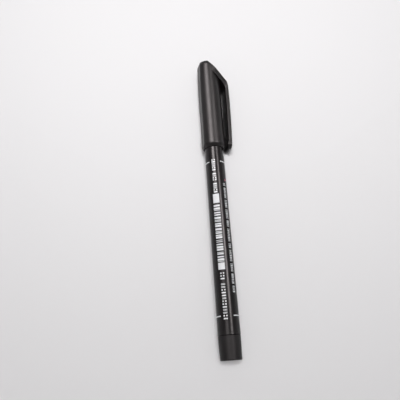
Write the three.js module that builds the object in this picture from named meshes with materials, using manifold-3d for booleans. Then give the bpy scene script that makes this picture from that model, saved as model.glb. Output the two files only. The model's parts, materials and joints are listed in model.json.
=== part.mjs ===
// Felt tip marker with a push-on clip cap, in millimetres.
//
// The pen lies on its side. Its axis is +Y, from the flat end of the end plug (the origin) to the closed end of
// the cap. +Z is up. The clip points along +X, turned down by CLIP_DROOP, as the pen comes to rest on a table.
// A station is a distance along the axis from the origin. A reach is a distance from the axis towards the clip.

import * as THREE from 'three';
import * as BufferGeometryUtils from 'three/addons/utils/BufferGeometryUtils.js';
import Module from 'manifold-3d';

const wasm = await Module();
wasm.setup();

// ---- Driving dimensions ----

const PEN_LENGTH = 137.2;
const CLIP_DROOP = 14;             // degrees below horizontal
const FIT_GAP = 0.3;               // between pieces that touch on the real pen
const EDGE = 0.15;                 // rounding of moulded edges

const BARREL_REAR = 9.9;           // station of the seam between end plug and barrel
const BARREL_FRONT = 103;
const BARREL_REAR_RADIUS = 4.7;
const BARREL_FRONT_RADIUS = 4.2;
const BARREL_LIP = 0.05;           // the rear edge stands out by this much
const BARREL_LIP_LENGTH = 4;
const BORE_REAR_RADIUS = 3.8;
const BORE_FRONT_RADIUS = 3.56;

const PLUG_END_RADIUS = 4.47;
const PLUG_SHOULDER_RADIUS = 4.68;
const PLUG_END_ROUNDING = 0.35;
const PLUG_SPIGOT_END = 18;
const PLUG_FLOOR = 1.5;
const PLUG_WALL = 1.1;
const PLUG_DRAFT = 0.2;            // the hollow is this much narrower at its bottom

const NOSE_SPIGOT_START = 94.5;
const NOSE_WALL = 0.75;
const NOSE_COLLAR_RADIUS = 4.1;
const NOSE_COLLAR_LENGTH = 1.3;
const NOSE_LAND_RADIUS = 3.35;     // the round land that the inner cap seals on
const NOSE_LAND_END = 109.5;
const NOSE_RING_START = 1.2;       // the click ring on the land, from the collar
const NOSE_RING_LENGTH = 1.2;
const NOSE_RING_HEIGHT = 0.15;
const NOSE_CONE_STEP = 0.7;        // drop from the land to the foot of the cone
const NOSE_TUBE_LENGTH = 4.2;
const NOSE_TUBE_FLARE = 0.45;      // the tube is this much thicker where it leaves the cone
const NOSE_TIP = 120.5;
const NOSE_TIP_RADIUS = 1.5;
const NIB_HOLE_LENGTH = 7;

const NIB_RADIUS = 1;
const NIB_TIP = 124.5;
const NIB_TAIL = 87;
const NIB_TAIL_RADIUS = 0.35;
const NIB_POINT_LENGTH = 3.2;
const NIB_POINT_RADIUS = 0.5;
const NIB_CLEARANCE = 0.15;

const RESERVOIR_START = 19;
const RESERVOIR_END = 94;
const RESERVOIR_RADIUS = 2.85;
const SLEEVE_CLEARANCE = 0.12;
const SLEEVE_WALL = 0.15;

const CAP_MOUTH = 92.3;
const CAP_RIM = 93.5;              // corner between the conical lip and the outside
const CAP_RIM_ROUNDING = 0.6;
const CAP_MOUTH_RADIUS = 4.5;
const CAP_LIP_RADIUS = 4.7;
const CAP_RIM_RADIUS = 5.6;
const CAP_RADIUS = 5.41;
const CAP_FLARE_END = 101;
const CAP_DRAFT_START = 116;
const CAP_TOP_RADIUS = 4.97;
const CAP_TOP_ROUNDING = 0.9;
const CAP_FLAT_DEPTH = 0.5;        // of the flat opposite the clip
const CAP_FLAT_TOP_DEPTH = 0.65;   // and at the closed end
const CAP_BORE_RADIUS = 4.45;      // where the inner cap begins
const CAP_BORE_END_RADIUS = 4.1;
const CAP_BORE_END = 129.9;
const CAP_ROOF = 132.7;            // deepest point of the bore
const CAP_ROOF_RADIUS = 1.5;

const SLANT_TOP = -0.95;           // reach at which the slanted shoulder starts
const SLANT_FOOT_REACH = 8.2;      // corner between shoulder and strap
const SLANT_FOOT = 127.3;
const SLANT_FOOT_ROUNDING = 0.8;
const SHOULDER_ROOT_HALF_WIDTH = 4.75; // inside the cap, a little short of its axis
const SHOULDER_HALF_WIDTH = 5.15;  // from the axis outwards
const SHOULDER_NARROWS = 2.5;      // reach from which it narrows to the strap
const SHOULDER_THICKNESS = 3.1;
const SHOULDER_CROTCH_REACH = 6.35; // inner corner between shoulder and strap
const SHOULDER_CROTCH = 125.7;

const STRAP_TOP = 124.6;
const STRAP_END = 92;
const STRAP_REACH = 8.68;          // outer face at the strap's top
const STRAP_BOW = 0.34;            // how far the strap bows out
const STRAP_LEAN = 1.2;            // and how far it leans in towards the rim
const STRAP_THICKNESS = 1.65;
const STRAP_HALF_WIDTH = 3.75;
const STRAP_END_ROUNDING = 0.7;
const STRAP_CORNER = 2.5;          // rounding of the free end, seen from outside
const PAD_REACH = 5.88;            // face of the pad that grips a pocket
const PAD_CHAMFER = 0.7;
const PAD_LENGTH = 2.9;

const INNER_CAP_MOUTH = 105;
const INNER_CAP_WALL = 0.5;

const FINE = 56;                   // sides of the outer turned pieces
const PLAIN = 40;                  // sides of the inner ones
const NARROW = 24;                 // sides of the nib

// ---- Helpers ----

const lerp = THREE.MathUtils.lerp;

// Points of an outline whose corners are [x, y] or [x, y, rounding]. A closed outline ends where it starts.
function rounded(corners, closed = false) {
  const path = new THREE.Path();
  const count = corners.length;
  corners.forEach(([x, y, rounding = 0], i) => {
    const corner = new THREE.Vector2(x, y);
    const towards = (other) => {
      const direction = new THREE.Vector2(other[0], other[1]).sub(corner).normalize();
      return corner.clone().addScaledVector(direction, rounding);
    };
    const before = towards(corners[(i + count - 1) % count]);
    const after = towards(corners[(i + 1) % count]);
    if (i === 0) path.moveTo(before.x, before.y);
    else path.lineTo(before.x, before.y);
    if (rounding > 0) path.quadraticCurveTo(x, y, after.x, after.y);
  });
  if (closed) path.closePath();
  return path.getPoints(2);
}

// A body turned about Y. Its outline [radius, station] runs out along the low end, up the outside, and back to
// the axis, or round to its own start.
function turned(corners, { closed = false, sides = PLAIN } = {}) {
  return new THREE.LatheGeometry(rounded(corners, closed), sides);
}

// A flat outline in the XY plane, as thick as stated, centred on z = 0.
function plate(corners, thickness) {
  const shape = new THREE.Shape(rounded(corners));
  const geometry = new THREE.ExtrudeGeometry(shape, { depth: thickness, bevelEnabled: false });
  return geometry.translate(0, 0, -thickness / 2);
}

function toManifold(geometry) {
  const bare = new THREE.BufferGeometry();
  bare.setAttribute('position', geometry.getAttribute('position'));
  if (geometry.index) bare.setIndex(geometry.index);
  const merged = BufferGeometryUtils.mergeVertices(bare, 1e-4);
  const mesh = new wasm.Mesh({
    numProp: 3,
    vertProperties: new Float32Array(merged.getAttribute('position').array),
    triVerts: new Uint32Array(merged.index.array),
  });
  return new wasm.Manifold(mesh);
}

function fromManifold(solid) {
  const mesh = solid.getMesh();
  const geometry = new THREE.BufferGeometry();
  geometry.setAttribute('position', new THREE.BufferAttribute(mesh.vertProperties, 3));
  geometry.setIndex(new THREE.BufferAttribute(mesh.triVerts, 1));
  const faceted = geometry.toNonIndexed();
  faceted.computeVertexNormals();
  return faceted;
}

function piece(name, geometry, color, roughness) {
  const material = new THREE.MeshStandardMaterial({ color, roughness, metalness: 0 });
  const mesh = new THREE.Mesh(geometry, material);
  mesh.name = name;
  return mesh;
}

// ---- Pen body ----

// The barrel and its bore both taper evenly from the rear to the front.
function barrelRadius(station) {
  const toFront = (station - BARREL_REAR) / (BARREL_FRONT - BARREL_REAR);
  return lerp(BARREL_REAR_RADIUS, BARREL_FRONT_RADIUS, toFront);
}

function boreRadius(station) {
  const toFront = (station - BARREL_REAR) / (BARREL_FRONT - BARREL_REAR);
  return lerp(BORE_REAR_RADIUS, BORE_FRONT_RADIUS, toFront);
}

function barrel() {
  const lipEnd = BARREL_REAR + BARREL_LIP_LENGTH;
  const corners = [
    [BORE_REAR_RADIUS, BARREL_REAR],
    [BARREL_REAR_RADIUS + BARREL_LIP, BARREL_REAR, EDGE],
    [barrelRadius(lipEnd), lipEnd, BARREL_LIP_LENGTH / 4],
    [BARREL_FRONT_RADIUS, BARREL_FRONT, EDGE],
    [BORE_FRONT_RADIUS, BARREL_FRONT],
  ];
  return piece('barrel', turned(corners, { closed: true, sides: FINE }), 0x262326, 0.2);
}

// A cup: the tapered end that shows, and a spigot that is pressed into the barrel.
function endPlug() {
  const shoulder = BARREL_REAR - FIT_GAP;
  const spigot = boreRadius(PLUG_SPIGOT_END) - FIT_GAP;
  const hollow = spigot - PLUG_WALL;
  const corners = [
    [0, 0],
    [PLUG_END_RADIUS, 0, PLUG_END_ROUNDING],
    [PLUG_SHOULDER_RADIUS, shoulder, EDGE],
    [spigot, shoulder],
    [spigot, PLUG_SPIGOT_END, EDGE],
    [hollow, PLUG_SPIGOT_END],
    [hollow - PLUG_DRAFT, PLUG_FLOOR, EDGE],
    [0, PLUG_FLOOR],
  ];
  return piece('end_plug', turned(corners, { sides: FINE }), 0x322f30, 0.55);
}

// The tip holder: spigot in the barrel, collar against its end, sealing land with a click ring, cone, and a tube
// round the nib.
function noseSection() {
  const collar = BARREL_FRONT + FIT_GAP;
  const collarEnd = collar + NOSE_COLLAR_LENGTH;
  const ring = collarEnd + NOSE_RING_START;
  const spigot = BORE_FRONT_RADIUS - FIT_GAP;
  const chamber = spigot - NOSE_WALL;
  const nibHole = NIB_RADIUS + NIB_CLEARANCE;
  const corners = [
    [chamber, NOSE_SPIGOT_START],
    [spigot, NOSE_SPIGOT_START, EDGE],
    [spigot, collar],
    [NOSE_COLLAR_RADIUS, collar, EDGE],
    [NOSE_COLLAR_RADIUS, collarEnd, EDGE],
    [NOSE_LAND_RADIUS, collarEnd],
    [NOSE_LAND_RADIUS, ring],
    [NOSE_LAND_RADIUS + NOSE_RING_HEIGHT, ring + NOSE_RING_LENGTH / 2, EDGE],
    [NOSE_LAND_RADIUS, ring + NOSE_RING_LENGTH],
    [NOSE_LAND_RADIUS, NOSE_LAND_END, 2 * EDGE],
    [NOSE_LAND_RADIUS - NOSE_CONE_STEP, NOSE_LAND_END + NOSE_CONE_STEP, 2 * EDGE],
    [NOSE_TIP_RADIUS + NOSE_TUBE_FLARE, NOSE_TIP - NOSE_TUBE_LENGTH, 4 * EDGE],
    [NOSE_TIP_RADIUS, NOSE_TIP, EDGE],
    [nibHole, NOSE_TIP],
    [nibHole, NOSE_TIP - NIB_HOLE_LENGTH],
    [NOSE_LAND_RADIUS - 2 * NOSE_WALL, NOSE_LAND_END - 1],
  ];
  return piece('nose_section', turned(corners, { closed: true }), 0x2a292b, 0.4);
}

function nib() {
  const pointStart = NIB_TIP - NIB_POINT_LENGTH;
  const corners = [
    [0, NIB_TAIL],
    [NIB_TAIL_RADIUS, NIB_TAIL],
    [NIB_RADIUS, NIB_TAIL + NIB_RADIUS],
    [NIB_RADIUS, pointStart, 4 * EDGE],
    [NIB_POINT_RADIUS, NIB_TIP - NIB_POINT_RADIUS / 2, 2 * EDGE],
    [0, NIB_TIP],
  ];
  return piece('nib', turned(corners, { sides: NARROW }), 0x1b1a1d, 0.9);
}

// The bundle has a hole at its front end for the tail of the nib.
function inkReservoir() {
  const hole = NIB_RADIUS + FIT_GAP;
  const corners = [
    [0, RESERVOIR_START],
    [RESERVOIR_RADIUS, RESERVOIR_START, EDGE],
    [RESERVOIR_RADIUS, RESERVOIR_END, EDGE],
    [hole, RESERVOIR_END],
    [hole, NIB_TAIL - FIT_GAP],
    [0, NIB_TAIL - FIT_GAP],
  ];
  return piece('ink_reservoir', turned(corners), 0x1f1e26, 0.95);
}

function reservoirSleeve() {
  const inside = RESERVOIR_RADIUS + SLEEVE_CLEARANCE;
  const outside = inside + SLEEVE_WALL;
  const corners = [
    [inside, RESERVOIR_START],
    [outside, RESERVOIR_START],
    [outside, RESERVOIR_END],
    [inside, RESERVOIR_END],
  ];
  return piece('reservoir_sleeve', turned(corners, { closed: true }), 0xd9dde0, 0.25);
}

// ---- Cap, with the clip along +X ----

// Flared at the rim, straight in the middle, and drawn in towards the closed end.
function capRadius(station) {
  if (station < CAP_FLARE_END) {
    const toRim = (CAP_FLARE_END - station) / (CAP_FLARE_END - CAP_RIM);
    return lerp(CAP_RADIUS, CAP_RIM_RADIUS, toRim);
  }
  const toTop = Math.max(0, (station - CAP_DRAFT_START) / (PEN_LENGTH - CAP_DRAFT_START));
  return lerp(CAP_RADIUS, CAP_TOP_RADIUS, toTop * toTop);
}

// Station of the slanted shoulder's outer face at a reach.
function slantAt(reach) {
  const fall = (PEN_LENGTH - SLANT_FOOT) / (SLANT_FOOT_REACH - SLANT_TOP);
  return PEN_LENGTH - (reach - SLANT_TOP) * fall;
}

// Reach of the strap's outer face at a station.
function strapReach(station) {
  const down = (STRAP_TOP - station) / (STRAP_TOP - STRAP_END);
  return STRAP_REACH + STRAP_BOW * down - STRAP_LEAN * down * down;
}

function capOutside() {
  const steps = 5;
  const draft = [];
  for (let i = 0; i < steps; i++) {
    const station = lerp(CAP_DRAFT_START, PEN_LENGTH, i / steps);
    draft.push([capRadius(station), station]);
  }
  const corners = [
    [0, CAP_MOUTH],
    [CAP_LIP_RADIUS, CAP_MOUTH],
    [CAP_RIM_RADIUS, CAP_RIM, CAP_RIM_ROUNDING],
    [CAP_RADIUS, CAP_FLARE_END],
    ...draft,
    [CAP_TOP_RADIUS, PEN_LENGTH, CAP_TOP_ROUNDING],
    [0, PEN_LENGTH],
  ];
  return turned(corners, { sides: FINE });
}

function capBore() {
  const below = CAP_MOUTH - 1;
  const corners = [
    [0, below],
    [CAP_MOUTH_RADIUS, below],
    [CAP_MOUTH_RADIUS, INNER_CAP_MOUTH - 1],
    [CAP_BORE_RADIUS, INNER_CAP_MOUTH - FIT_GAP],
    [CAP_BORE_END_RADIUS, CAP_BORE_END],
    [CAP_ROOF_RADIUS, CAP_ROOF],
    [0, CAP_ROOF],
  ];
  return turned(corners, { sides: FINE });
}

// The thick slanted arm that carries the strap. It is as wide as the cap at the axis, and narrows outwards.
function shoulder() {
  const slope = slantAt(0) - slantAt(1);
  const drop = SHOULDER_THICKNESS * Math.hypot(1, slope);
  const midway = SHOULDER_CROTCH_REACH / 2;
  const strapTop = strapReach(STRAP_TOP);
  const side = [
    [0, slantAt(0)],
    [SLANT_FOOT_REACH, SLANT_FOOT, SLANT_FOOT_ROUNDING],
    [strapTop, STRAP_TOP],
    [strapTop - STRAP_THICKNESS, STRAP_TOP],
    [SHOULDER_CROTCH_REACH, SHOULDER_CROTCH, 3 * EDGE],
    [midway, slantAt(midway) - drop],
    [0, slantAt(0) - drop],
  ];
  const narrowed = strapTop - STRAP_THICKNESS;
  const reach = strapTop + FIT_GAP;
  const halfPlan = [
    [reach, STRAP_HALF_WIDTH],
    [narrowed, STRAP_HALF_WIDTH],
    [SHOULDER_NARROWS, SHOULDER_HALF_WIDTH],
    [0, SHOULDER_HALF_WIDTH],
    [-1, SHOULDER_ROOT_HALF_WIDTH],
  ];
  const otherHalf = halfPlan.map(([x, across]) => [x, -across]).reverse();
  const plan = [...halfPlan, ...otherHalf];
  const height = 4 * (PEN_LENGTH - SLANT_FOOT);
  const column = plate(plan, height).rotateX(Math.PI / 2).translate(0, SLANT_FOOT, 0);
  return toManifold(plate(side, 3 * SHOULDER_HALF_WIDTH)).intersect(toManifold(column));
}

// Everything above the slanted shoulder, to be cut away.
function aboveSlant() {
  const far = 2 * CAP_RADIUS;
  const corners = [
    [SLANT_TOP, PEN_LENGTH],
    [far, slantAt(far)],
    [far, PEN_LENGTH + 1],
    [SLANT_TOP, PEN_LENGTH + 1],
  ];
  return plate(corners, 4 * SHOULDER_HALF_WIDTH);
}

// Everything beyond the shallow flat that runs down the cap opposite the clip, to be cut away.
function beyondFlat() {
  const steps = 4;
  const face = [];
  for (let i = 0; i <= steps; i++) {
    const station = lerp(CAP_DRAFT_START, PEN_LENGTH, i / steps);
    const depth = lerp(CAP_FLAT_DEPTH, CAP_FLAT_TOP_DEPTH, i / steps);
    face.push([depth - capRadius(station), station]);
  }
  const far = -2 * CAP_RADIUS;
  const corners = [
    [CAP_FLAT_DEPTH - CAP_RIM_RADIUS, CAP_MOUTH - 1],
    [CAP_FLAT_DEPTH - CAP_RIM_RADIUS, CAP_RIM],
    [CAP_FLAT_DEPTH - CAP_RADIUS, CAP_FLARE_END],
    ...face,
    [far, PEN_LENGTH],
    [far, CAP_MOUTH - 1],
  ];
  return plate(corners, 4 * SHOULDER_HALF_WIDTH);
}

function capShell() {
  const solid = toManifold(capOutside())
    .add(shoulder())
    .subtract(toManifold(aboveSlant()))
    .subtract(toManifold(beyondFlat()))
    .subtract(toManifold(capBore()));
  return piece('cap_shell', fromManifold(solid), 0x4a4849, 0.38);
}

// The sprung strap, from just below the shoulder to the pad at its free end.
function clip() {
  const padTop = STRAP_END + PAD_LENGTH;
  const top = STRAP_TOP - FIT_GAP;
  const steps = 6;
  const outside = [];
  const inside = [];
  for (let i = 0; i < steps; i++) {
    const outer = lerp(top, STRAP_END, i / steps);
    const inner = lerp(top, padTop + 1, i / (steps - 1));
    outside.push([strapReach(outer), outer]);
    inside.unshift([strapReach(inner) - STRAP_THICKNESS, inner]);
  }
  const corners = [
    ...inside,
    ...outside,
    [strapReach(STRAP_END), STRAP_END, STRAP_END_ROUNDING],
    [PAD_REACH + PAD_CHAMFER, STRAP_END, EDGE],
    [PAD_REACH, STRAP_END + PAD_CHAMFER, EDGE],
    [PAD_REACH, padTop - PAD_CHAMFER, EDGE],
  ];
  const front = [
    [-STRAP_HALF_WIDTH, STRAP_END, STRAP_CORNER],
    [STRAP_HALF_WIDTH, STRAP_END, STRAP_CORNER],
    [STRAP_HALF_WIDTH, STRAP_TOP],
    [-STRAP_HALF_WIDTH, STRAP_TOP],
  ];
  const column = plate(front, 4 * STRAP_REACH).rotateY(Math.PI / 2);
  const solid = toManifold(plate(corners, 3 * STRAP_HALF_WIDTH)).intersect(toManifold(column));
  return piece('clip', fromManifold(solid), 0x4a4849, 0.38);
}

// The liner that seals round the nose section.
function innerCap() {
  const mouth = CAP_BORE_RADIUS - FIT_GAP;
  const top = CAP_BORE_END_RADIUS - FIT_GAP;
  const roof = CAP_ROOF - 2 * FIT_GAP;
  const shoulderAt = CAP_BORE_END - FIT_GAP;
  const corners = [
    [mouth - INNER_CAP_WALL, INNER_CAP_MOUTH],
    [mouth, INNER_CAP_MOUTH],
    [top, shoulderAt],
    [CAP_ROOF_RADIUS - FIT_GAP, roof],
    [0, roof],
    [0, roof - INNER_CAP_WALL],
    [CAP_ROOF_RADIUS - INNER_CAP_WALL, roof - INNER_CAP_WALL],
    [top - INNER_CAP_WALL, shoulderAt],
    [mouth - INNER_CAP_WALL, INNER_CAP_MOUTH],
  ];
  return piece('inner_cap', turned(corners), 0x8d9094, 0.45);
}

// ---- Assembly ----

const pen = new THREE.Group();
pen.add(barrel(), endPlug(), noseSection(), nib(), inkReservoir(), reservoirSleeve());

const cap = new THREE.Group();
cap.rotation.y = THREE.MathUtils.degToRad(CLIP_DROOP);
cap.add(capShell(), clip(), innerCap());

const marker = new THREE.Group();
marker.add(pen, cap);

export default marker;
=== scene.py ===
import json
import math

import bmesh
import bpy
from mathutils import Matrix, Vector


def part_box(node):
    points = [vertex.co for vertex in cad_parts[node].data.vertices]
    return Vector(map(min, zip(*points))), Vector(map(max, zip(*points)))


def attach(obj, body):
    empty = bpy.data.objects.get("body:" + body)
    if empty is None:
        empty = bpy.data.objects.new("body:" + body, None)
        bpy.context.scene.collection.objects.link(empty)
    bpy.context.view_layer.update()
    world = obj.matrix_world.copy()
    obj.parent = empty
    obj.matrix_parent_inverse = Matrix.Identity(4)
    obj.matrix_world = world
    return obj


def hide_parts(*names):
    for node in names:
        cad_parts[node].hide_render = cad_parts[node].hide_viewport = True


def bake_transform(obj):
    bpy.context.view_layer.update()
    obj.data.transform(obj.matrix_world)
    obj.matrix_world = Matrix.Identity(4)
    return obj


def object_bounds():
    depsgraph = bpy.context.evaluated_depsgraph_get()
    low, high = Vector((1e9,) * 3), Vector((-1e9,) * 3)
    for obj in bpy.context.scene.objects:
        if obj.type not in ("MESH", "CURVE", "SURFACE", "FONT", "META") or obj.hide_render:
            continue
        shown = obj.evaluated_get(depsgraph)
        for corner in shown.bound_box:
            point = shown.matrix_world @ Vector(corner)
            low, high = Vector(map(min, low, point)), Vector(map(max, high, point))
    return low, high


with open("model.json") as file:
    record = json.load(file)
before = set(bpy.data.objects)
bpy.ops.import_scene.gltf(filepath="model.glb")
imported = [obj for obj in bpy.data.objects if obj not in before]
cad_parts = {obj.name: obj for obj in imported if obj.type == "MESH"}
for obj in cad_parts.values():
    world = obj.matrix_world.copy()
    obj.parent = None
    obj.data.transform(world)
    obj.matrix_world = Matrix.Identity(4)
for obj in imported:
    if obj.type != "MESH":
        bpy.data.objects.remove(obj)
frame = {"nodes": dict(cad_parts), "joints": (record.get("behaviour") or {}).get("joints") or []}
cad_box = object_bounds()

# Looks of a felt tip marker, built round its CAD frame.
#
# The pen lies along +Y, from the end plug to the closed end of the cap, and +Z is up. The pen's sizes are in
# millimetres and turn into metres where meshes are made. A station is a distance along the axis, a reach is a
# distance from the axis towards the clip, and an angle goes round the axis from +Z towards +X, in degrees.

MM = 0.001
WELD = 1e-7                         # metres within which points become one


def ends(node):
    """Lowest and highest station of a CAD node."""
    low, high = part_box(node)
    return low.y / MM, high.y / MM


def widest(node):
    """Largest radius of a turned CAD node."""
    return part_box(node)[1].z / MM


# ---- Sizes ----

FIT_GAP = 0.3                       # between CAD pieces that touch on the real pen
SEAM = 0.06                         # what is left of it where the seam shows
EDGE = 0.15                         # rounding of moulded edges
SEAM_EDGE = 0.3                     # rounding of the edges beside the plug's seam

BARREL_REAR, BARREL_FRONT = ends("barrel")
BARREL_LIP_RADIUS = widest("barrel")
BARREL_REAR_RADIUS = BARREL_LIP_RADIUS - 0.05
BARREL_FRONT_RADIUS = BARREL_REAR_RADIUS - 0.5
BARREL_LIP_LENGTH = 4
BARREL_LIP_ROUNDING = 1.5
BORE_REAR_RADIUS = 3.8
BORE_FRONT_RADIUS = 3.56

PLUG_SHOULDER_RADIUS = widest("end_plug")
PLUG_END_RADIUS = PLUG_SHOULDER_RADIUS - 0.21
PLUG_END_ROUNDING = 0.4
PLUG_DIMPLE_RADIUS = 3.1            # the shallow round hollow in the flat end
PLUG_DIMPLE_DEPTH = 0.25
PLUG_SPIGOT_END = ends("end_plug")[1]
PLUG_WALL = 1.1
PLUG_FLOOR = 1.5

NOSE_START, NOSE_TIP = ends("nose_section")
NOSE_COLLAR_RADIUS = widest("nose_section")
NOSE_COLLAR_LENGTH = 1.3
NOSE_WALL = 0.75
NOSE_LAND_RADIUS = 3.35
NOSE_LAND_END = 109.5
NOSE_RING_START = 1.2
NOSE_RING_LENGTH = 1.2
NOSE_RING_HEIGHT = 0.15
NOSE_CONE_STEP = 0.7
NOSE_TUBE_LENGTH = 4.2
NOSE_TUBE_FLARE = 0.45
NOSE_TIP_RADIUS = 1.5
NOSE_HOLLOW_END = NOSE_LAND_END - 1
NIB_HOLE_LENGTH = 7

NIB_TAIL, NIB_TIP = ends("nib")
NIB_RADIUS = widest("nib")
NIB_TAIL_RADIUS = 0.35
NIB_POINT_LENGTH = 3.2
NIB_POINT_RADIUS = 0.5
NIB_CLEARANCE = 0.15

CAP_MOUTH, CAP_TOP = ends("cap_shell")
CAP_RIM = CAP_MOUTH + 1.2
CAP_RIM_ROUNDING = 0.6
CAP_LIP_RADIUS = 4.7
CAP_MOUTH_RADIUS = 4.5
CAP_RIM_RADIUS = 5.6
CAP_RADIUS = 5.41
CAP_FLARE_END = 101
CAP_FLARE_ROUNDING = 2
CAP_DRAFT_START = 116
CAP_TOP_RADIUS = 4.97
CAP_TOP_ROUNDING = 0.7
CAP_FLAT_DEPTH = 0.5
CAP_FLAT_TOP_DEPTH = 0.65
CAP_FLAT_SOFTNESS = 0.1             # rounding where the flat meets the round
CAP_FLAT_SPAN = 60                  # degrees to each side within which the flat lies
CAP_BORE_RADIUS = 4.45
CAP_BORE_LEAD = 1                   # length over which the mouth narrows to the bore
CAP_BORE_END_RADIUS = 4.1
CAP_BORE_END = 129.9
CAP_ROOF = 132.7
CAP_ROOF_RADIUS = 1.5
CAP_SIDES = 180
CAP_END_SHARES = (0.12, 0.24, 0.36, 0.48, 0.6, 0.72, 0.84, 0.94, 0.985, 1)
CAP_EDGE_PASSES = 4                 # after which the closed end's edge has settled
CAP_EDGE_STEPS = 8
CAP_SIDE_ROWS = 16
CAP_SIDE_FIRST_ROW = 0.02           # one more, close under the edge, for even shading

SLANT_TOP = -0.95                   # reach at which the slanted shoulder starts
SLANT_FOOT_REACH = 8.2
SLANT_FOOT = 127.3
SLANT_FOOT_ROUNDING = 0.9
SLANT_CLEARANCE = 0.05              # between the cap's closed end and the shoulder's outer face
SLANT_SOFTNESS = 0.4                # rounding where the closed end turns into the slant
SHOULDER_ROOT = -0.6                # reach at which it comes out of the cap
SHOULDER_SUNK = 0.1                 # how far its sides lie under the cap's surface there
SHOULDER_PROUD = 0.15               # how far they stand out from it further on
SHOULDER_RISE = 1.6                 # change of reach from the one to the other
SHOULDER_NARROWS = 2.5              # reach from which it is narrower than the cap
SHOULDER_EDGE = 0.45                # rounding of its long edges near the axis
SHOULDER_EDGE_START = 0.2           # share of SHOULDER_NARROWS from which that rounding shrinks
SHOULDER_THICKNESS = 3.1
CROTCH_REACH = 6.35
CROTCH = 125.7
CROTCH_ROUNDING = 1.1

STRAP_TOP = 124.6
STRAP_INNER_TOP = STRAP_TOP - 1
STRAP_END = ends("clip")[0]
STRAP_REACH = 8.68
STRAP_BOW = 0.34
STRAP_LEAN = 1.2
STRAP_THICKNESS = 1.65
STRAP_HALF_WIDTH = 3.75
STRAP_DRAFT = 0.1                   # narrowing outwards, per millimetre
STRAP_EDGE = 0.32                   # rounding of the strap's long edges
STRAP_END_ROUNDING = 0.8
PAD_REACH = 5.88
PAD_CHAMFER = 0.7
PAD_FILLET = 0.4
PAD_ROUNDING = 0.5                  # of the corners of its face
PAD_CORNER = 0.3                    # and of its other corners
PAD_LENGTH = 2.9
PAD_LEAD = 1                        # length of strap that is shaped together with the pad
END_INNER_REACH = PAD_REACH + 1.2 * PAD_CHAMFER     # where the inner points stop on the end face
END_OUTER_REACH = PAD_REACH + 1.4 * PAD_CHAMFER     # and where the outer points do
CLIP_CORNER = 2.5                   # rounding of the free end, seen from outside
SHOULDER_STEPS = 10
STRAP_STEPS = 22

INNER_CAP_MOUTH = ends("inner_cap")[0]
INNER_CAP_WALL = 0.5

clip_joint = next(joint for joint in frame["joints"] if joint["name"] == "clip_flex")
CLIP_DROOP = math.atan2(clip_joint["axis"][0], clip_joint["axis"][2])


# ---- Curves and surfaces ----

def lerp(a, b, t):
    return a + (b - a) * t


def bend(a, corner, b, steps):
    """Points of a quadratic curve from a to b that is pulled towards the corner."""
    a, corner, b = Vector(a), Vector(corner), Vector(b)
    points = []
    for i in range(steps + 1):
        t = i / steps
        points.append(tuple(a.lerp(corner, t).lerp(corner.lerp(b, t), t)))
    return points


def straight(a, b, longest=2.0, margin=0.06):
    """Inner points of a straight run, with one close to each end so that its shading stays even."""
    a, b = Vector(a), Vector(b)
    length = (b - a).length
    if length < 4 * margin:
        return []
    count = max(1, math.ceil(length / longest))
    shares = [margin / length, *[i / count for i in range(1, count)], 1 - margin / length]
    return [tuple(a.lerp(b, share)) for share in shares]


def outline(corners, closed=False, steps=6):
    """Points through corners (x, y) or (x, y, rounding), with the roundings curved."""
    count = len(corners)
    arcs = []
    for i, corner in enumerate(corners):
        place = Vector(corner[:2])
        rounding = corner[2] if len(corner) > 2 else 0
        if not rounding:
            arcs.append([tuple(place)])
            continue
        before = Vector(corners[i - 1][:2]) - place
        after = Vector(corners[(i + 1) % count][:2]) - place
        start = place + before.normalized() * rounding
        end = place + after.normalized() * rounding
        arcs.append(bend(start, place, end, steps))
    points = []
    for i, arc in enumerate(arcs):
        points += arc
        if closed or i + 1 < count:
            points += straight(arc[-1], arcs[(i + 1) % count][0])
    return points


def mesh_object(name, points, faces, welded):
    """A mesh object from points in millimetres, with its faces turned outwards."""
    mesh = bpy.data.meshes.new(name)
    mesh.from_pydata([Vector(point) * MM for point in points], [], faces)
    work = bmesh.new()
    work.from_mesh(mesh)
    if welded:
        bmesh.ops.remove_doubles(work, verts=work.verts, dist=WELD)
    bmesh.ops.recalc_face_normals(work, faces=work.faces)
    for face in work.faces:
        face.smooth = welded and len(face.verts) < 5
    work.to_mesh(mesh)
    work.free()
    obj = bpy.data.objects.new(name, mesh)
    bpy.context.scene.collection.objects.link(obj)
    return obj


def surface(name, rings, closed=False):
    """A closed, smooth mesh object over rings of points that all have the same count."""
    sides = len(rings[0])
    points = [point for ring in rings for point in ring]
    faces = []
    for row in range(len(rings) if closed else len(rings) - 1):
        following = (row + 1) % len(rings)
        for side in range(sides):
            beside = (side + 1) % sides
            faces.append((row * sides + side, row * sides + beside,
                          following * sides + beside, following * sides + side))
    if not closed:
        faces.append(tuple(range(sides)))
        faces.append(tuple(range(len(points) - sides, len(points))))
    return mesh_object(name, points, faces, welded=True)


def around(radius, station, sides):
    """A ring of points round the axis."""
    ring = []
    for i in range(sides):
        angle = 2 * math.pi * i / sides
        ring.append((radius * math.sin(angle), station, radius * math.cos(angle)))
    return ring


def turned(name, corners, closed=False, sides=128):
    profile = outline(corners, closed)
    return surface(name, [around(radius, station, sides) for radius, station in profile], closed)


def dress(obj, material, body, slot, *nodes):
    """Gives a piece its material and its body, and hides the CAD nodes that it stands for; the slot is not
    used.
    """
    obj.data.materials.append(material)
    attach(obj, body)
    if nodes:
        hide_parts(*nodes)


# ---- Materials ----

def new_material(name):
    material = bpy.data.materials.new(name)
    material.use_nodes = True
    nodes = material.node_tree.nodes
    return material, nodes, material.node_tree.links, nodes["Principled BSDF"]


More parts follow.
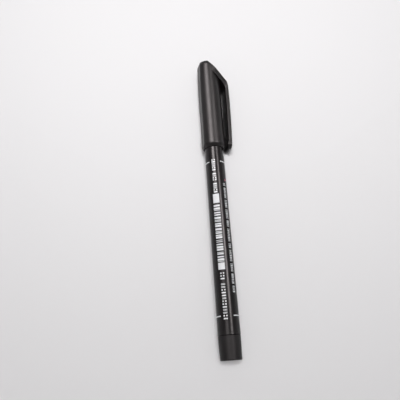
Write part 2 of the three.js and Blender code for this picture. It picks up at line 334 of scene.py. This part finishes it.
def noise(nodes, links, size, detail=2.0, stretch=(1, 1, 1)):
    """Noise whose features are about this many millimetres across, times the stretch along each axis."""
    place = nodes.new("ShaderNodeTexCoord")
    scale = nodes.new("ShaderNodeMapping")
    scale.inputs["Scale"].default_value = [1 / (size * MM * s) for s in stretch]
    texture = nodes.new("ShaderNodeTexNoise")
    texture.inputs["Scale"].default_value = 1
    texture.inputs["Detail"].default_value = detail
    links.new(place.outputs["Object"], scale.inputs["Vector"])
    links.new(scale.outputs["Vector"], texture.inputs["Vector"])
    return texture.outputs["Fac"]


NOISE_LOW, NOISE_HIGH = 0.3, 0.7    # nearly all of the noise lies between these


def spread(nodes, links, factor, low, high):
    """Maps noise to a value between low and high."""
    remap = nodes.new("ShaderNodeMapRange")
    remap.inputs["From Min"].default_value = NOISE_LOW
    remap.inputs["From Max"].default_value = NOISE_HIGH
    remap.inputs["To Min"].default_value = low
    remap.inputs["To Max"].default_value = high
    links.new(factor, remap.inputs["Value"])
    return remap.outputs["Result"]


def shades(nodes, links, factor, dark, light):
    """Maps noise to a colour between two."""
    ramp = nodes.new("ShaderNodeValToRGB")
    ramp.color_ramp.elements[0].position = NOISE_LOW
    ramp.color_ramp.elements[1].position = NOISE_HIGH
    ramp.color_ramp.elements[0].color = (*dark, 1)
    ramp.color_ramp.elements[1].color = (*light, 1)
    links.new(factor, ramp.inputs["Fac"])
    return ramp.outputs["Color"]


def relief(nodes, links, shader, height, strength, depth):
    """Surface texture of a depth in millimetres."""
    bump = nodes.new("ShaderNodeBump")
    bump.inputs["Strength"].default_value = strength
    bump.inputs["Distance"].default_value = depth * MM
    links.new(height, bump.inputs["Height"])
    links.new(bump.outputs["Normal"], shader.inputs["Normal"])


def plastic(name, dark, light, roughness, grain, depth, specular):
    """Moulded plastic: slow changes of tone and gloss, and a fine grain."""
    material, nodes, links, shader = new_material(name)
    slow = noise(nodes, links, size=6, detail=3)
    links.new(shades(nodes, links, slow, dark, light), shader.inputs["Base Color"])
    links.new(spread(nodes, links, slow, *roughness), shader.inputs["Roughness"])
    shader.inputs["Specular IOR Level"].default_value = specular
    relief(nodes, links, shader, noise(nodes, links, grain), strength=0.5, depth=depth)
    return material


def fibre(name, dark, light, thread, length):
    """Bonded fibres that run along the pen."""
    material, nodes, links, shader = new_material(name)
    threads = noise(nodes, links, thread, detail=3, stretch=(1, length / thread, 1))
    links.new(shades(nodes, links, threads, dark, light), shader.inputs["Base Color"])
    links.new(spread(nodes, links, threads, low=0.7, high=0.95), shader.inputs["Roughness"])
    shader.inputs["Sheen Weight"].default_value = 0.15
    relief(nodes, links, shader, threads, strength=0.8, depth=0.05)
    return material


def ink(name, color, faintest=0.82):
    """Screen-printed ink, a little uneven."""
    material, nodes, links, shader = new_material(name)
    coat = noise(nodes, links, size=0.25, detail=4)
    faint = tuple(channel * faintest for channel in color)
    links.new(shades(nodes, links, coat, faint, color), shader.inputs["Base Color"])
    links.new(spread(nodes, links, coat, low=0.35, high=0.5), shader.inputs["Roughness"])
    relief(nodes, links, shader, coat, strength=0.3, depth=0.004)
    return material


def film(name):
    """Thin clear film."""
    material, nodes, links, shader = new_material(name)
    shader.inputs["Base Color"].default_value = (0.86, 0.88, 0.9, 1)
    shader.inputs["Transmission Weight"].default_value = 0.85
    creases = noise(nodes, links, size=1.2, detail=3, stretch=(1, 4, 1))
    links.new(spread(nodes, links, creases, low=0.12, high=0.3), shader.inputs["Roughness"])
    relief(nodes, links, shader, creases, strength=0.3, depth=0.03)
    return material


GLOSS_BLACK = plastic("gloss_black", dark=(0.01, 0.0085, 0.009), light=(0.013, 0.0113, 0.0118),
                      roughness=(0.21, 0.26), grain=0.9, depth=0.002, specular=0.27)
MATT_BLACK = plastic("matt_black", dark=(0.0085, 0.0072, 0.0077), light=(0.0115, 0.01, 0.0106),
                     roughness=(0.4, 0.48), grain=0.09, depth=0.012, specular=0.27)
SATIN_BLACK = plastic("satin_black", dark=(0.008, 0.0075, 0.008), light=(0.012, 0.011, 0.012),
                      roughness=(0.3, 0.42), grain=0.1, depth=0.006, specular=0.35)
CHARCOAL = plastic("satin_charcoal", dark=(0.0095, 0.008, 0.0083), light=(0.013, 0.0112, 0.0116),
                   roughness=(0.33, 0.4), grain=0.12, depth=0.006, specular=0.35)
NATURAL = plastic("natural_plastic", dark=(0.25, 0.26, 0.27), light=(0.29, 0.3, 0.31),
                  roughness=(0.38, 0.5), grain=0.15, depth=0.006, specular=0.5)
NIB_FIBRE = fibre("nib_fibre", dark=(0.006, 0.006, 0.008), light=(0.02, 0.018, 0.024),
                  thread=0.12, length=1.6)
RESERVOIR_FIBRE = fibre("reservoir_fibre", dark=(0.008, 0.007, 0.013), light=(0.03, 0.027, 0.045),
                        thread=0.1, length=6)
CLEAR_FILM = film("clear_film")
WHITE_INK = ink("white_ink", (0.78, 0.79, 0.81))
CRIMSON_INK = ink("crimson_ink", (0.45, 0.02, 0.09))


# ---- Pen ----

def along_barrel(station):
    """Share of the barrel's length that lies behind a station."""
    return (station - BARREL_REAR) / (BARREL_FRONT - BARREL_REAR)


def barrel_radius(station):
    return lerp(BARREL_REAR_RADIUS, BARREL_FRONT_RADIUS, along_barrel(station))


def bore_radius(station):
    return lerp(BORE_REAR_RADIUS, BORE_FRONT_RADIUS, along_barrel(station))


def barrel():
    lip_end = BARREL_REAR + BARREL_LIP_LENGTH
    rear = BARREL_REAR - FIT_GAP + SEAM
    corners = [
        (BORE_REAR_RADIUS, rear, EDGE),
        (BARREL_LIP_RADIUS, rear, SEAM_EDGE),
        (barrel_radius(lip_end), lip_end, BARREL_LIP_ROUNDING),
        (BARREL_FRONT_RADIUS, BARREL_FRONT, EDGE),
        (BORE_FRONT_RADIUS, BARREL_FRONT, EDGE),
    ]
    dress(turned("barrel_body", corners, closed=True), GLOSS_BLACK, "pen", "barrel", "barrel")


def end_plug():
    shoulder = BARREL_REAR - FIT_GAP
    spigot = bore_radius(PLUG_SPIGOT_END) - FIT_GAP
    hollow = spigot - PLUG_WALL
    corners = [
        (0, PLUG_DIMPLE_DEPTH),
        (PLUG_DIMPLE_RADIUS, PLUG_DIMPLE_DEPTH, EDGE),
        (PLUG_DIMPLE_RADIUS + PLUG_DIMPLE_DEPTH, 0, EDGE),
        (PLUG_END_RADIUS, 0, PLUG_END_ROUNDING),
        (PLUG_SHOULDER_RADIUS, shoulder, SEAM_EDGE),
        (spigot, shoulder, EDGE),
        (spigot, PLUG_SPIGOT_END, EDGE),
        (hollow, PLUG_SPIGOT_END, EDGE),
        (hollow, PLUG_FLOOR, 2 * EDGE),
        (0, PLUG_FLOOR),
    ]
    dress(turned("end_plug_body", corners), MATT_BLACK, "pen", "end_plug", "end_plug")


def nose_section():
    collar = BARREL_FRONT + SEAM
    collar_end = BARREL_FRONT + FIT_GAP + NOSE_COLLAR_LENGTH
    ring_start = collar_end + NOSE_RING_START
    spigot = BORE_FRONT_RADIUS - FIT_GAP
    nib_hole = NIB_RADIUS + NIB_CLEARANCE
    corners = [
        (spigot - NOSE_WALL, NOSE_START, EDGE),
        (spigot, NOSE_START, EDGE),
        (spigot, collar, EDGE / 2),
        (NOSE_COLLAR_RADIUS, collar, EDGE),
        (NOSE_COLLAR_RADIUS, collar_end, 2 * EDGE),
        (NOSE_LAND_RADIUS, collar_end, EDGE),
        (NOSE_LAND_RADIUS, ring_start, 2 * EDGE),
        (NOSE_LAND_RADIUS + NOSE_RING_HEIGHT, ring_start + NOSE_RING_LENGTH / 2, 3 * EDGE),
        (NOSE_LAND_RADIUS, ring_start + NOSE_RING_LENGTH, 2 * EDGE),
        (NOSE_LAND_RADIUS, NOSE_LAND_END, 3 * EDGE),
        (NOSE_LAND_RADIUS - NOSE_CONE_STEP, NOSE_LAND_END + NOSE_CONE_STEP, 3 * EDGE),
        (NOSE_TIP_RADIUS + NOSE_TUBE_FLARE, NOSE_TIP - NOSE_TUBE_LENGTH, 6 * EDGE),
        (NOSE_TIP_RADIUS, NOSE_TIP, EDGE),
        (nib_hole, NOSE_TIP, EDGE / 2),
        (nib_hole, NOSE_TIP - NIB_HOLE_LENGTH, EDGE),
        (NOSE_LAND_RADIUS - 2 * NOSE_WALL, NOSE_HOLLOW_END, 2 * EDGE),
    ]
    dress(turned("nose_body", corners, closed=True), SATIN_BLACK, "pen", "nose_section", "nose_section")


def nib():
    corners = [
        (0, NIB_TAIL),
        (NIB_TAIL_RADIUS, NIB_TAIL, EDGE),
        (NIB_RADIUS, NIB_TAIL + NIB_RADIUS, 2 * EDGE),
        (NIB_RADIUS, NIB_TIP - NIB_POINT_LENGTH, 5 * EDGE),
        (NIB_POINT_RADIUS, NIB_TIP - NIB_POINT_RADIUS / 2, 2 * EDGE),
        (0, NIB_TIP),
    ]
    dress(turned("nib_fibre_rod", corners, sides=64), NIB_FIBRE, "pen", "nib", "nib")


def ink_store():
    """The reservoir and its film keep their CAD shapes."""
    for node, material in (("ink_reservoir", RESERVOIR_FIBRE), ("reservoir_sleeve", CLEAR_FILM)):
        materials = frame["nodes"][node].data.materials
        materials.clear()
        materials.append(material)


# ---- Printing: plain marks that stand for no letters ----

INK_HEIGHT = 0.015                  # of the printing above the barrel
INK_DEPTH = 0.03                    # and how far it reaches in
PATCH_STEP = 4                      # longest straight step round the barrel, in degrees

RING_STATIONS = {"print_ring_rear": 17.2, "print_ring_front": 84.9}
RING_WIDTH = 0.45
RING_OPEN = (-40, 29)               # angles between which a ring is left open
LADDER = (39.3, 64.9)               # stations of the ladder of bars
LADDER_ANGLES = (-32, 4)
BAR_MODULE = 0.28
BAR_SPACING = 0.8                   # module of the spaces, against that of the bars
BLOCKS = ((36.0, 38.9), (65.2, 69.4))
COLUMN_ANGLES = (-24, -3)
LINE_ANGLES = (38, 53)
DOT = (75.8, 76.6, 52, 62)          # two stations and two angles
DASH = (88.2, 90.8, 64, 68)

# Rows of marks: name, stations, angles, pitch, length of a mark as a share of it, and marks in each group.
MARK_ROWS = (
    ("print_column_upper", (70.0, 87.0), COLUMN_ANGLES, 0.95, 0.72, (5, 4, 6)),
    ("print_column_lower", (15.8, 34.9), COLUMN_ANGLES, 1.15, 0.5, (13, 3)),
    ("print_line", (26.5, 74.6), LINE_ANGLES, 0.72, 0.62, (4, 6, 5, 7, 3, 8)),
)
MARK_BAR = 0.36                     # each bar's share of a mark that is made of two


def patch(start, end, low, high):
    """Mesh points and faces of a thin closed patch on the barrel, between two stations and two angles."""
    count = max(1, math.ceil(abs(high - low) / PATCH_STEP))
    points = []
    for i in range(count + 1):
        angle = math.radians(lerp(low, high, i / count))
        for station, rise in ((start, -INK_DEPTH), (start, INK_HEIGHT), (end, INK_HEIGHT), (end, -INK_DEPTH)):
            radius = barrel_radius(station) + rise
            points.append((radius * math.sin(angle), station, radius * math.cos(angle)))
    faces = [(0, 1, 2, 3), tuple(4 * count + k for k in (3, 2, 1, 0))]
    for i in range(count):
        for k in range(4):
            a, b = 4 * i + k, 4 * i + (k + 1) % 4
            faces.append((a, a + 4, b + 4, b))
    return points, faces


def printed(name, patches, material):
    """One piece of printing, made of patches (start, end, low angle, high angle)."""
    points, faces = [], []
    for place in patches:
        more, around_it = patch(*place)
        faces += [tuple(len(points) + k for k in face) for face in around_it]
        points += more
    dress(mesh_object(name, points, faces, welded=False), material, "pen", "barrel")


def print_rings():
    opening, closing = RING_OPEN
    for name, station in RING_STATIONS.items():
        start, end = station - RING_WIDTH / 2, station + RING_WIDTH / 2
        printed(name, [(start, end, closing, 360 + opening)], WHITE_INK)


def ladder():
    """Bars and spaces of one to three modules in an even rhythm that stands for nothing."""
    low, high = LADDER_ANGLES
    start, end = LADDER
    bars = []
    station, i = start, 0
    while station < end - 2 * BAR_MODULE:
        width = (1 + (i * 5 + i // 3) % 3) * BAR_MODULE
        space = (1 + (i * 7 + i // 4) % 3) * BAR_MODULE * BAR_SPACING
        bars.append((station, min(station + width, end), low, high))
        station += width + space
        i += 1
    printed("print_ladder", bars, WHITE_INK)
    printed("print_blocks", [(a, b, low, high) for a, b in BLOCKS], WHITE_INK)


def mark(station, length, low, high, kind):
    """One plain mark of a row: a block, two bars, or a block parted along its middle."""
    if kind == 0:
        return [(station, station + length, low, high)]
    if kind == 1:
        bar = length * MARK_BAR
        return [(station, station + bar, low, high), (station + length - bar, station + length, low, high)]
    third = (high - low) / 3
    return [(station, station + length, low, low + third), (station, station + length, high - third, high)]


def mark_row(stations, angles, pitch, fill, groups):
    """Plain marks between two stations, with a gap of one pitch after each group."""
    start, end = stations
    low, high = angles
    marks = []
    station, i, group, left = start, 0, 0, groups[0]
    while station + pitch * fill <= end:
        if left == 0:
            station += pitch
            group = (group + 1) % len(groups)
            left = groups[group]
            continue
        marks += mark(station, pitch * fill, low, high, (i * 2 + i // 3) % 3)
        station += pitch
        left -= 1
        i += 1
    return marks


def mark_rows():
    for name, *row in MARK_ROWS:
        printed(name, mark_row(*row), WHITE_INK)


def small_marks():
    printed("print_dot", [DOT], CRIMSON_INK)
    printed("print_dash", [DASH], WHITE_INK)


# ---- Cap, with the clip along +X until turn_cap() ----

def turn_cap(points):
    cosine, sine = math.cos(CLIP_DROOP), math.sin(CLIP_DROOP)
    return [(x * cosine + z * sine, y, z * cosine - x * sine) for x, y, z in points]


def soft_min(a, b, softness):
    near = max(softness - abs(a - b), 0) / softness
    return min(a, b) - near * near * softness / 4


def drafted(station):
    """Share of the way from the start of the cap's draft to its closed end."""
    return max(0, (station - CAP_DRAFT_START) / (CAP_TOP - CAP_DRAFT_START))


def round_radius(station):
    """Outer radius of the cap away from its flat."""
    if station < CAP_FLARE_END:
        to_rim = (CAP_FLARE_END - station) / (CAP_FLARE_END - CAP_RIM)
        return lerp(CAP_RADIUS, CAP_RIM_RADIUS, to_rim)
    return lerp(CAP_RADIUS, CAP_TOP_RADIUS, drafted(station) * drafted(station))


def with_flat(radius, station, turn):
    """Outer radius in a direction, where turn is the angle from the clip in radians."""
    facing = -math.cos(turn)
    if facing < math.cos(math.radians(CAP_FLAT_SPAN)):
        return radius
    depth = lerp(CAP_FLAT_DEPTH, CAP_FLAT_TOP_DEPTH, drafted(station))
    distance = round_radius(max(station, CAP_RIM)) - depth
    return soft_min(radius, distance / facing, CAP_FLAT_SOFTNESS)


def slant_at(reach):
    """Station of the slanted shoulder's outer face."""
    fall = (CAP_TOP - SLANT_FOOT) / (SLANT_FOOT_REACH - SLANT_TOP)
    return CAP_TOP - (reach - SLANT_TOP) * fall


def cap_end(reach):
    """Station of the cap body's closed end, which stays just under the shoulder."""
    return soft_min(CAP_TOP, slant_at(reach) - SLANT_CLEARANCE, SLANT_SOFTNESS)


CAP_TURNS = [2 * math.pi * i / CAP_SIDES for i in range(CAP_SIDES)]


def cap_point(radius, station, turn):
    return radius * math.cos(turn), station, radius * math.sin(turn)


def cap_edge(turn):
    """Radius and station in a direction where the closed end and the side would meet in a sharp edge."""
    station = CAP_TOP
    for _ in range(CAP_EDGE_PASSES):
        radius = with_flat(round_radius(station), station, turn)
        station = cap_end(radius * math.cos(turn))
    return radius, station


def cap_end_ring(edges, share):
    """A ring on the closed end, at a share of the way from the axis to the edge's rounding."""
    ring = []
    for turn, (radius, _) in zip(CAP_TURNS, edges):
        inner = (radius - CAP_TOP_ROUNDING) * share
        ring.append(cap_point(inner, cap_end(inner * math.cos(turn)), turn))
    return ring


def cap_edge_ring(edges, t):
    """A ring on the rounding between the closed end and the side."""
    ring = []
    for turn, (radius, station) in zip(CAP_TURNS, edges):
        inner = radius - CAP_TOP_ROUNDING
        start = (inner, cap_end(inner * math.cos(turn)))
        end = (radius, station - CAP_TOP_ROUNDING)
        r, s = (lerp(lerp(a, corner, t), lerp(corner, b, t), t)
                for a, corner, b in zip(start, (radius, station), end))
        ring.append(cap_point(r, s, turn))
    return ring


def cap_side_ring(edges, share):
    """A ring on the drafted side, at a share of the way down from the edge's rounding."""
    ring = []
    for turn, (_, station) in zip(CAP_TURNS, edges):
        s = lerp(station - CAP_TOP_ROUNDING, CAP_DRAFT_START, share)
        ring.append(cap_point(with_flat(round_radius(s), s, turn), s, turn))
    return ring


def cap_level_ring(radius, station):
    """A ring at one station, with the flat where it reaches that far out."""
    return [cap_point(with_flat(radius, station, turn), station, turn) for turn in CAP_TURNS]


def cap_body():
    edges = [cap_edge(turn) for turn in CAP_TURNS]
    rings = [[(0, cap_end(0), 0)] * CAP_SIDES]
    rings += [cap_end_ring(edges, share) for share in CAP_END_SHARES]
    rings += [cap_edge_ring(edges, step / CAP_EDGE_STEPS) for step in range(1, CAP_EDGE_STEPS + 1)]
    rows = (CAP_SIDE_FIRST_ROW, *range(1, CAP_SIDE_ROWS + 1))
    rings += [cap_side_ring(edges, row / CAP_SIDE_ROWS) for row in rows]
    below = [
        (CAP_RADIUS, CAP_DRAFT_START),
        (CAP_RADIUS, CAP_FLARE_END, CAP_FLARE_ROUNDING),
        (CAP_RIM_RADIUS, CAP_RIM, CAP_RIM_ROUNDING),
        (CAP_LIP_RADIUS, CAP_MOUTH, EDGE),
        (CAP_MOUTH_RADIUS, CAP_MOUTH, EDGE / 2),
        (CAP_MOUTH_RADIUS, INNER_CAP_MOUTH - CAP_BORE_LEAD),
        (CAP_BORE_RADIUS, INNER_CAP_MOUTH - FIT_GAP),
        (CAP_BORE_END_RADIUS, CAP_BORE_END, 2 * EDGE),
        (CAP_ROOF_RADIUS, CAP_ROOF),
        (0, CAP_ROOF),
    ]
    rings += [cap_level_ring(radius, station) for radius, station in outline(below)[1:]]
    rings = [turn_cap(ring) for ring in rings]
    dress(surface("cap_body", rings), CHARCOAL, "cap", "cap", "cap_shell")


def strap_reach(station):
    down = (STRAP_TOP - station) / (STRAP_TOP - STRAP_END)
    return STRAP_REACH + STRAP_BOW * down - STRAP_LEAN * down * down


def half_width_at(reach, station):
    """Half width of the clip: the cap's at the axis, narrower outwards, and rounded off at the free end."""
    if station > STRAP_TOP:
        inside = min(0, reach)
        risen = min(1, max(0, (reach - SHOULDER_ROOT) / SHOULDER_RISE))
        cap_half_width = math.sqrt(round_radius(station) ** 2 - inside ** 2)
        full = cap_half_width + lerp(-SHOULDER_SUNK, SHOULDER_PROUD, risen)
        outwards = (reach - SHOULDER_NARROWS) / (STRAP_REACH - STRAP_THICKNESS - SHOULDER_NARROWS)
        return lerp(full, STRAP_HALF_WIDTH, min(1, max(0, outwards)))
    from_end = min(CLIP_CORNER, max(0, CLIP_CORNER - (station - STRAP_END)))
    corner = CLIP_CORNER - math.sqrt(CLIP_CORNER ** 2 - from_end ** 2)
    return STRAP_HALF_WIDTH - corner - STRAP_DRAFT * (reach - STRAP_REACH + STRAP_THICKNESS)


def section(outer, inner, edge, steps=5, largest_edge=0.45, margin=0.05):
    """A rounded rectangle across the clip, between an outer and an inner point (reach, station)."""
    outer, inner = Vector(outer), Vector(inner)
    thickness = (outer - inner).length
    edge = min(edge, largest_edge * thickness)
    middles = ((-edge, thickness - edge), (edge, thickness - edge), (edge, edge), (-edge, edge))
    points = []
    for quarter, (across, up) in enumerate(middles):
        side = 1 if quarter in (0, 3) else -1
        for i in range(steps + 1):
            angle = (quarter + i / steps) * math.pi / 2
            points.append((side, across + edge * math.cos(angle), up + edge * math.sin(angle)))
    ring = []
    for k, (side, across, up) in enumerate(points):
        place = inner.lerp(outer, up / thickness)
        width = side * half_width_at(place.x, place.y) + across
        ring.append((place.x, place.y, width))
        if k % (steps + 1) == steps:
            following = points[(k + 1) % len(points)]
            beside = inner.lerp(outer, following[2] / thickness)
            there = following[0] * half_width_at(beside.x, beside.y) + following[1]
            start, end = Vector(ring[-1]), Vector((beside.x, beside.y, there))
            ring += [tuple(start.lerp(end, share)) for share in (margin, 1 - margin)]
    return ring


def clip_sides():
    """Outer and inner points of the clip, pair by pair, from the shoulder's root to the strap's end."""
    slope = Vector((SLANT_FOOT_REACH - SLANT_TOP, SLANT_FOOT - CAP_TOP)).normalized()
    inwards = Vector((slope.y, -slope.x))
    top = Vector((SHOULDER_ROOT, slant_at(SHOULDER_ROOT)))
    foot = Vector((SLANT_FOOT_REACH, SLANT_FOOT))
    crotch = Vector((CROTCH_REACH, CROTCH))
    strap_start = Vector((strap_reach(STRAP_TOP), STRAP_TOP))
    inner_start = Vector((strap_reach(STRAP_INNER_TOP) - STRAP_THICKNESS, STRAP_INNER_TOP))
    before_foot = foot - slope * SLANT_FOOT_ROUNDING
    after_foot = foot + (strap_start - foot).normalized() * SLANT_FOOT_ROUNDING
    root = top + inwards * SHOULDER_THICKNESS
    before_crotch = crotch - slope * CROTCH_ROUNDING

    pairs = []
    for i in range(SHOULDER_STEPS):
        share = i / SHOULDER_STEPS
        pairs.append((top.lerp(before_foot, share), root.lerp(before_crotch, share)))
    outer_bend = bend(before_foot, foot, after_foot, SHOULDER_STEPS)
    inner_bend = bend(before_crotch, crotch, inner_start, SHOULDER_STEPS)
    pairs += list(zip(outer_bend, inner_bend))

    pad_top = STRAP_END + PAD_LENGTH
    for i in range(1, STRAP_STEPS + 1):
        outer_at = lerp(after_foot.y, pad_top + PAD_LEAD, i / STRAP_STEPS)
        inner_at = lerp(STRAP_INNER_TOP, pad_top + PAD_LEAD, i / STRAP_STEPS)
        if outer_at < STRAP_TOP:
            outer_reach = strap_reach(outer_at)
        else:
            passed = (after_foot.y - outer_at) / (after_foot.y - STRAP_TOP)
            outer_reach = lerp(after_foot.x, strap_start.x, passed)
        pairs.append(((outer_reach, outer_at), (strap_reach(inner_at) - STRAP_THICKNESS, inner_at)))
    return pairs + pad_sides(*pairs[-1])


def pad_sides(outer_start, inner_start):
    """Outer and inner points of the free end, where the inner side has the pad."""
    pad_top = STRAP_END + PAD_LENGTH
    face = STRAP_END + PAD_CHAMFER
    inner_corners = [
        (*inner_start, 0),
        (strap_reach(pad_top) - STRAP_THICKNESS, pad_top + PAD_FILLET, PAD_CORNER),
        (PAD_REACH, pad_top - PAD_CHAMFER, PAD_ROUNDING),
        (PAD_REACH, face, PAD_ROUNDING),
        (PAD_REACH + PAD_CHAMFER, STRAP_END, PAD_CORNER),
        (END_INNER_REACH, STRAP_END, 0),
    ]
    inner_line = outline(inner_corners)[1:]
    outer_corners = [
        (*outer_start, 0),
        (strap_reach(STRAP_END), STRAP_END, STRAP_END_ROUNDING),
        (END_OUTER_REACH, STRAP_END, 0),
    ]
    outer_line = outline(outer_corners)
    slack = 1e-9
    lengths = [0]
    for a, b in zip(outer_line, outer_line[1:]):
        lengths.append(lengths[-1] + (Vector(b) - Vector(a)).length)
    sides = []
    for i, inner in enumerate(inner_line):
        wanted = lengths[-1] * (i + 1) / len(inner_line)
        k = max(1, next(j for j, length in enumerate(lengths) if length >= wanted - slack))
        share = (wanted - lengths[k - 1]) / (lengths[k] - lengths[k - 1])
        sides.append((Vector(outer_line[k - 1]).lerp(Vector(outer_line[k]), share), inner))
    return sides


def clip():
    """The shoulder and the strap in one sweep, whose shape bends from the one into the other."""
    rings = []
    for outer, inner in clip_sides():
        outwards = min(1, max(0, outer[0] / SHOULDER_NARROWS - SHOULDER_EDGE_START))
        rings.append(turn_cap(section(outer, inner, lerp(SHOULDER_EDGE, STRAP_EDGE, outwards))))
    obj = surface("cap_clip", rings)
    obj.data.materials.append(CHARCOAL)
    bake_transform(obj)
    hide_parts("clip")


def inner_cap():
    mouth = CAP_BORE_RADIUS - FIT_GAP
    top = CAP_BORE_END_RADIUS - FIT_GAP
    roof = CAP_ROOF - 2 * FIT_GAP
    shoulder = CAP_BORE_END - FIT_GAP
    corners = [
        (0, roof),
        (CAP_ROOF_RADIUS - FIT_GAP, roof, EDGE),
        (top, shoulder, 2 * EDGE),
        (mouth, INNER_CAP_MOUTH, EDGE),
        (mouth - INNER_CAP_WALL, INNER_CAP_MOUTH, EDGE),
        (top - INNER_CAP_WALL, shoulder, 2 * EDGE),
        (CAP_ROOF_RADIUS - INNER_CAP_WALL, roof - INNER_CAP_WALL, EDGE),
        (0, roof - INNER_CAP_WALL),
    ]
    dress(turned("inner_cap_liner", corners), NATURAL, "cap", "inner_cap", "inner_cap")


barrel()
end_plug()
nose_section()
nib()
ink_store()
print_rings()
ladder()
mark_rows()
small_marks()
cap_body()
clip()
inner_cap()

# ---- Floor, light and camera, in metres and degrees ----

CAMERA_AIM = Vector((-8.0, 68.4, 0)) * MM
CAMERA_DISTANCE = 0.2175
CAMERA_AZIMUTH = -3.8
CAMERA_ELEVATION = 71.33
CAMERA_LENS = 44.1
CAMERA_SENSOR = 36

FLOOR_SIZE = 6
FLOOR_COLOR = (0.8, 0.79, 0.8, 1)

# Strips of light that only show as reflections: name, angle, width, two stations and radiance.
STRIP_DISTANCE = 1.0
STRIP_COLOR = (1, 0.93, 0.93)
STRIPS = (
    ("strip_left_near", -16.5, 0.44, -0.1, 0.42, 2.8),
    ("strip_left_far", -16.5, 0.44, 0.42, 1.0, 16.5),
    ("strip_right_near", 30.0, 0.24, 0.1, 0.5, 17.0),
    ("strip_right_far", 30.0, 0.22, 0.5, 1.0, 5.4),
)

OVERHEAD_STRENGTH = 1.1
OVERHEAD_SPREAD = 30                # degrees
POOL_PLACE = (0, 0.21, 0.9)         # above the floor, beyond the cap's closed end
POOL_ENERGY = 18
POOL_SOURCE_RADIUS = 0.15
POOL_CONE = 35                      # degrees
POOL_SOFTNESS = 0.8

SKY_COLOR = (1, 0.99, 0.995, 1)
SKY_HORIZON = 0.7                   # strength at the horizon
SKY_ABOVE = 0.24                    # and higher up
SKY_FADE_HEIGHT = 0.4               # sine of the elevation where the fading ends


def floor():
    bpy.ops.mesh.primitive_plane_add(size=FLOOR_SIZE, location=(0, 0, cad_box[0].z))
    plane = bpy.context.object
    plane.name = "floor"
    material, _, _, shader = new_material("pale_floor")
    shader.inputs["Base Color"].default_value = FLOOR_COLOR
    shader.inputs["Roughness"].default_value = 0.6
    shader.inputs["Specular IOR Level"].default_value = 0.2
    plane.data.materials.append(material)


def strip_light(name, angle, width, near, far, radiance):
    """A soft strip along the pen, at an angle round its axis, between two stations."""
    turn = math.radians(angle)
    away = Vector((math.sin(turn), 0, math.cos(turn)))
    data = bpy.data.lights.new(name, "AREA")
    data.shape = "RECTANGLE"
    data.size = width
    data.size_y = far - near
    data.energy = radiance * math.pi * width * (far - near)
    data.color = STRIP_COLOR
    light = bpy.data.objects.new(name, data)
    bpy.context.scene.collection.objects.link(light)
    along = Vector((0, 1, 0))
    across = along.cross(away)
    facing = Matrix((across, along, away)).transposed().to_4x4()
    light.matrix_world = Matrix.Translation(away * STRIP_DISTANCE + along * (near + far) / 2) @ facing
    light.visible_diffuse = False


def overhead_light(name, kind, place, energy):
    """A light above the pen that does not show as a reflection."""
    data = bpy.data.lights.new(name, kind)
    data.energy = energy
    light = bpy.data.objects.new(name, data)
    light.location = place
    light.visible_glossy = False
    bpy.context.scene.collection.objects.link(light)
    return data


def lights():
    for strip in STRIPS:
        strip_light(*strip)
    sun = overhead_light("overhead", "SUN", (0, 0, 1), OVERHEAD_STRENGTH)
    sun.angle = math.radians(OVERHEAD_SPREAD)
    pool = overhead_light("pool", "SPOT", POOL_PLACE, POOL_ENERGY)
    pool.shadow_soft_size = POOL_SOURCE_RADIUS
    pool.spot_size = math.radians(POOL_CONE)
    pool.spot_blend = POOL_SOFTNESS


def sky():
    """A plain sky, pale at the horizon and dimmer above."""
    world = bpy.data.worlds.new("studio")
    world.use_nodes = True
    nodes, links = world.node_tree.nodes, world.node_tree.links
    background = nodes["Background"]
    background.inputs["Color"].default_value = SKY_COLOR
    direction = nodes.new("ShaderNodeTexCoord")
    height = nodes.new("ShaderNodeSeparateXYZ")
    fade = nodes.new("ShaderNodeMapRange")
    fade.inputs["From Max"].default_value = SKY_FADE_HEIGHT
    fade.inputs["To Min"].default_value = SKY_HORIZON
    fade.inputs["To Max"].default_value = SKY_ABOVE
    links.new(direction.outputs["Generated"], height.inputs["Vector"])
    links.new(height.outputs["Z"], fade.inputs["Value"])
    links.new(fade.outputs["Result"], background.inputs["Strength"])
    bpy.context.scene.world = world


def camera():
    azimuth, elevation = math.radians(CAMERA_AZIMUTH), math.radians(CAMERA_ELEVATION)
    level = math.cos(elevation)
    back = Vector((math.sin(azimuth) * level, -math.cos(azimuth) * level, math.sin(elevation)))
    data = bpy.data.cameras.new("camera")
    data.lens = CAMERA_LENS
    data.sensor_width = CAMERA_SENSOR
    data.clip_start = 0.01
    data.clip_end = 20
    eye = bpy.data.objects.new("camera", data)
    bpy.context.scene.collection.objects.link(eye)
    eye.rotation_mode = "QUATERNION"
    eye.location = CAMERA_AIM + back * CAMERA_DISTANCE
    eye.rotation_quaternion = (-back).to_track_quat("-Z", "Y")
    bpy.context.scene.camera = eye
    bpy.context.scene.view_settings.view_transform = "Standard"


floor()
lights()
sky()
camera()

bpy.context.view_layer.update()
